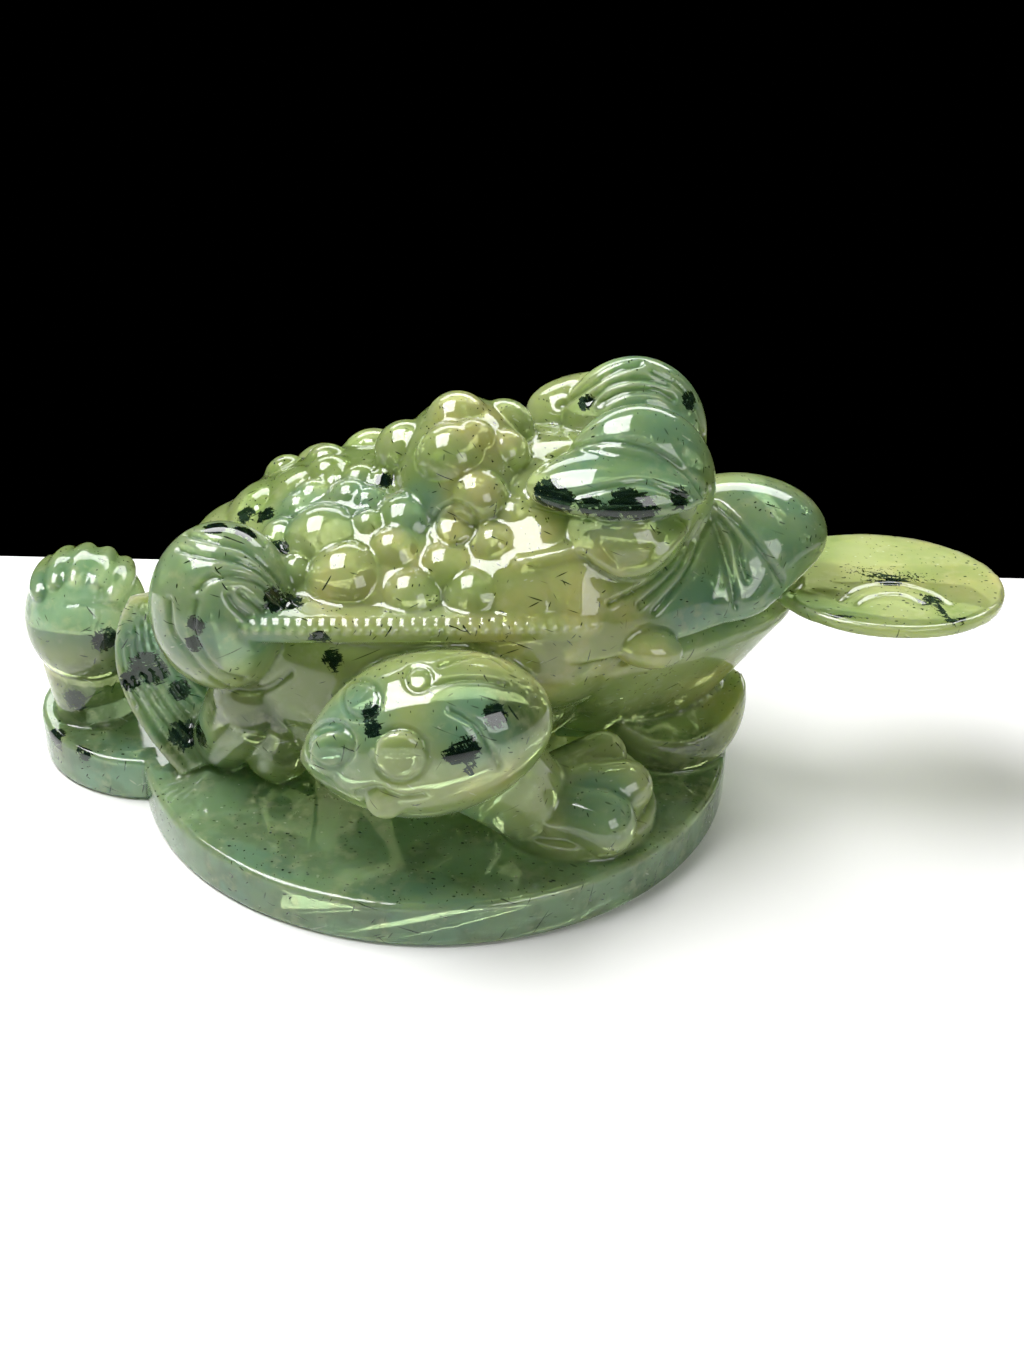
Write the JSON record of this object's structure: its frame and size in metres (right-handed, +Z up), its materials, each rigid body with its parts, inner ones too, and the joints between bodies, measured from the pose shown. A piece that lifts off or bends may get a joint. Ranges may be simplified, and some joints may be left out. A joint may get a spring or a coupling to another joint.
{
  "type": "money toad figurine",
  "caption": "Carved translucent green stone toad with a coin in its mouth, crouching on a round slab with a smaller lobe behind for a crested knob.",
  "frame": {"origin": "centre of the round slab's underside, on the surface that the carving stands on", "axes": "+X from the rear knob towards the coin in the mouth, +Z up, -Y the flank that is carved in full"},
  "size_m": [0.1819, 0.112, 0.081],
  "materials": {
    "green_stone": "polished translucent yellow-green to blue-green stone with black needle inclusions"
  },
  "bodies": {
    "root": {"carved_toad": "green_stone"}
  },
  "joints": []
}
